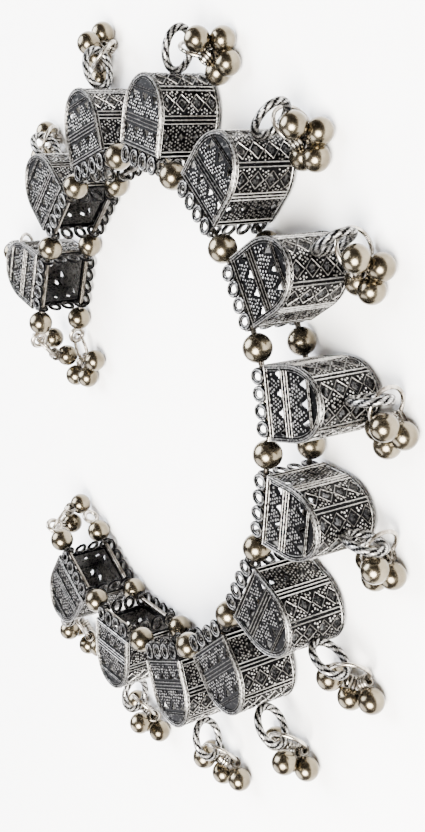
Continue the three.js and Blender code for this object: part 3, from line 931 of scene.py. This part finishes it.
for name, side in (("front", 1), ("back", -1)):
    balls, wire = string(middle_height + side * wire_offset)
    make_piece(f"silver_{name}_string", [(balls, POLISHED), (wire, RING)],
               f"{name}_string")

# Front string or back, first end or last, degrees below level that the jump ring hooks, degrees
# from the string's way to the way the bells lie, the jump ring's slope, and the bells' spread.
for name, settings in {
    "upper_front": (True, 0, 40, 45, 40, "pair"),
    "upper_back": (False, 0, 18, -48, 6, "three"),
    "lower_front": (True, 1, 60, 43, 47, "pair"),
}.items():
    balls, rings = end_bunch(*settings)
    make_piece(f"silver_bells_{name}", [(balls, POLISHED), (rings, RING)],
               f"bells_{name}")

# ---- floor, light and camera --------------------------------------------------------------

def add_floor():
    """A level disc, in metres, of matt white board: the eye sees an even, bare white."""
    radius, corners, mottle = 1.8, 96, 3.3
    mesh = bpy.data.meshes.new("floor")
    turn = 2 * np.pi * np.arange(corners) / corners
    edge = radius * np.column_stack([np.cos(turn), np.sin(turn), np.zeros(corners)])
    mesh.from_pydata(edge.tolist(), [], [tuple(range(corners))])
    material, tree = new_material("matt_white_floor")
    place = add(tree, "ShaderNodeTexCoord").outputs["Object"]
    noise = add(tree, "ShaderNodeTexNoise", Vector=place, Scale=noise_scale(mottle))
    colour = add(tree, "ShaderNodeMix", {"data_type": "RGBA"}, i0=noise.outputs["Fac"],
                 i6="#fafafa", i7="#f6f6f6").outputs[2]
    shader = add(tree, "ShaderNodeBsdfPrincipled", Base_Color=colour, Roughness=0.9)
    add(tree, "ShaderNodeOutputMaterial", Surface=shader.outputs[0])
    mesh.materials.append(material)
    floor = bpy.data.objects.new("floor", mesh)
    bpy.context.scene.collection.objects.link(floor)


def add_light(name, position, size, power, colour):
    """A disc lamp at a position in metres, facing the bangle; size in metres, power in watts."""
    light = bpy.data.lights.new(name, "AREA")
    light.shape = "DISK"
    light.size = size
    light.energy = power
    light.color = linear(colour)[:3]
    obj = bpy.data.objects.new(name, light)
    obj.location = position
    obj.rotation_euler = (-Vector(position)).to_track_quat("-Z", "Y").to_euler()
    bpy.context.scene.collection.objects.link(obj)


def set_world():
    """Surroundings that are white at the horizon and a warm dark brown overhead."""
    world = bpy.data.worlds.new("studio")
    bpy.context.scene.world = world
    world.use_nodes = True
    tree = world.node_tree
    tree.nodes.clear()
    way = add(tree, "ShaderNodeTexCoord").outputs["Generated"]
    height = add(tree, "ShaderNodeSeparateXYZ", Vector=way).outputs["Z"]
    ramp = add(tree, "ShaderNodeValToRGB", Fac=height)
    stops = [(0.0, "#ffffff"), (0.12, "#f4f0ea"), (0.3, "#857668"), (0.5, "#665a4f"),
             (0.8, "#665b51"), (1.0, "#857b70")]
    elements = ramp.color_ramp.elements
    while len(elements) < len(stops):
        elements.new(0.5)
    for element, (position, colour) in zip(elements, stops):
        element.position = position
        element.color = linear(colour)
    background = add(tree, "ShaderNodeBackground", Color=ramp.outputs[0], Strength=0.95)
    add(tree, "ShaderNodeOutputWorld", Surface=background.outputs[0])


def add_camera():
    """The camera's place and its level, upright and backward directions."""
    right, upward, back = unit(np.array([
        [0.5870, -0.0173, -0.8093], [-0.1850, 0.9704, -0.1550], [0.7880, 0.2407, 0.5664]]))
    data = bpy.data.cameras.new("camera")
    data.sensor_width = 36.0
    data.lens = 48.85
    data.shift_x = 0.012
    data.clip_start = 0.005
    data.clip_end = 10.0
    camera = bpy.data.objects.new("camera", data)
    turn = Matrix(np.column_stack([right, upward, back]).tolist()).to_4x4()
    camera.matrix_world = Matrix.Translation(Vector((0.14648, 0.04369, 0.10201))) @ turn
    bpy.context.scene.collection.objects.link(camera)
    bpy.context.scene.camera = camera


add_floor()
set_world()
add_light("key", (0.35, -0.15, 0.45), 0.4, 32.0, "#fffaf2")
add_light("fill", (-0.4, 0.3, 0.5), 0.6, 26.0, "#f4f8ff")
add_light("low_fill", (-0.28, -0.49, 0.41), 0.6, 8.5, "#f8f8ff")
add_camera()
